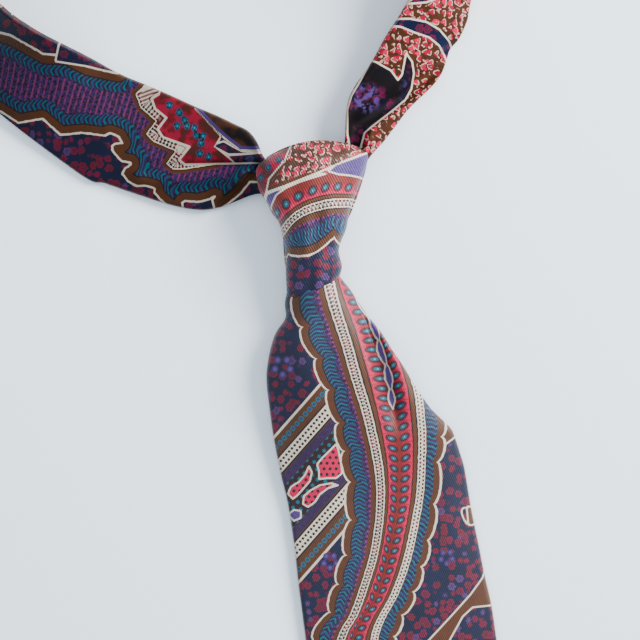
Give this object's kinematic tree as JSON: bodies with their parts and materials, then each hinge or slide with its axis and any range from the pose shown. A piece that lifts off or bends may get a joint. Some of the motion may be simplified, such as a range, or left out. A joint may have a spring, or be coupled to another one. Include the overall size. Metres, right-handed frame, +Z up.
{
  "type": "necktie",
  "caption": "Silk necktie tied in a four-in-hand knot, laid flat: folded, interlined blade and tail, with the neck loop running up from the sliding knot.",
  "frame": {"origin": "centre of the bounding box's underside, on the surface that the tie lies on", "axes": "+Z up off the face of the tie; -Y along the wide blade to its point; +Y towards the neck loop; +X to the right of the face"},
  "size_m": [0.2251, 0.6114, 0.0458],
  "materials": {
    "silk_knot": "printed silk twill, soft sheen",
    "silk_blade": "printed silk twill, soft sheen",
    "silk_tail": "printed silk twill, soft sheen",
    "silk_neck": "printed silk twill, soft sheen",
    "wool_interlining": "brushed wool felt, matte",
    "tipping_silk": "plain lining silk, soft sheen",
    "thread": "polished sewing thread",
    "label_tape": "woven satin tape, blank",
    "label_thread": "sewing thread"
  },
  "bodies": {
    "knot": {"knot_front_wrap": "silk_knot", "knot_front_interlining": "wool_interlining", "knot_inner_wrap": "silk_knot", "knot_back_wrap": "silk_knot", "blade_throat": "silk_knot"},
    "neck_feed": {"left_wing_root": "silk_neck", "right_wing_root": "silk_neck"},
    "neck_loop": {"left_wing_fold": "silk_neck", "left_wing_shell": "silk_neck", "left_wing_interlining": "wool_interlining", "neck_band_shell": "silk_neck", "neck_band_interlining": "wool_interlining", "right_wing_shell": "silk_neck", "right_wing_interlining": "wool_interlining", "left_join_seam": "silk_neck", "right_join_seam": "silk_neck", "neck_slip_stitch": "thread"},
    "blade_upper": {"blade_upper_shell": "silk_blade", "blade_upper_interlining": "wool_interlining", "blade_upper_slip_stitch": "thread"},
    "blade_lower": {"blade_lower_shell": "silk_blade", "blade_lower_interlining": "wool_interlining", "blade_lower_slip_stitch": "thread", "blade_tipping": "tipping_silk", "blade_bar_tack": "thread", "keeper_loop": "silk_blade", "keeper_stitches": "thread", "care_label": "label_tape", "care_label_stitches": "label_thread"},
    "tail": {"tail_neck_shell": "silk_tail", "tail_neck_interlining": "wool_interlining", "tail_shell": "silk_tail", "tail_interlining": "wool_interlining", "tail_slip_stitch": "thread", "tail_tipping": "tipping_silk", "tail_bar_tack": "thread"}
  },
  "joints": [
    {"name": "neck_slide", "type": "slide", "parent": "knot", "child": "neck_feed", "axis": [0, 1, 0], "range_m": [0, 0.024]},
    {"name": "neck_tilt", "type": "hinge", "parent": "neck_feed", "child": "neck_loop", "pos_m": [0.0052, 0.1843, 0.0084], "axis": [1, 0, 0], "range_deg": [0, 70]},
    {"name": "blade_lift", "type": "hinge", "parent": "knot", "child": "blade_upper", "pos_m": [0.0092, 0.1237, 0.0156], "axis": [-1, 0, 0], "range_deg": [0, 75]},
    {"name": "blade_fold", "type": "hinge", "parent": "blade_upper", "child": "blade_lower", "pos_m": [0.0174, -0.0517, 0.006], "axis": [-1, 0, 0], "range_deg": [0, 90]},
    {"name": "tail_slide", "type": "slide", "parent": "knot", "child": "tail", "axis": [0, 1, 0], "range_m": [0, 0.0312]}
  ],
  "couplings": [
    {"joint": "tail_slide", "follows": "neck_slide", "ratio": 1.28}
  ]
}
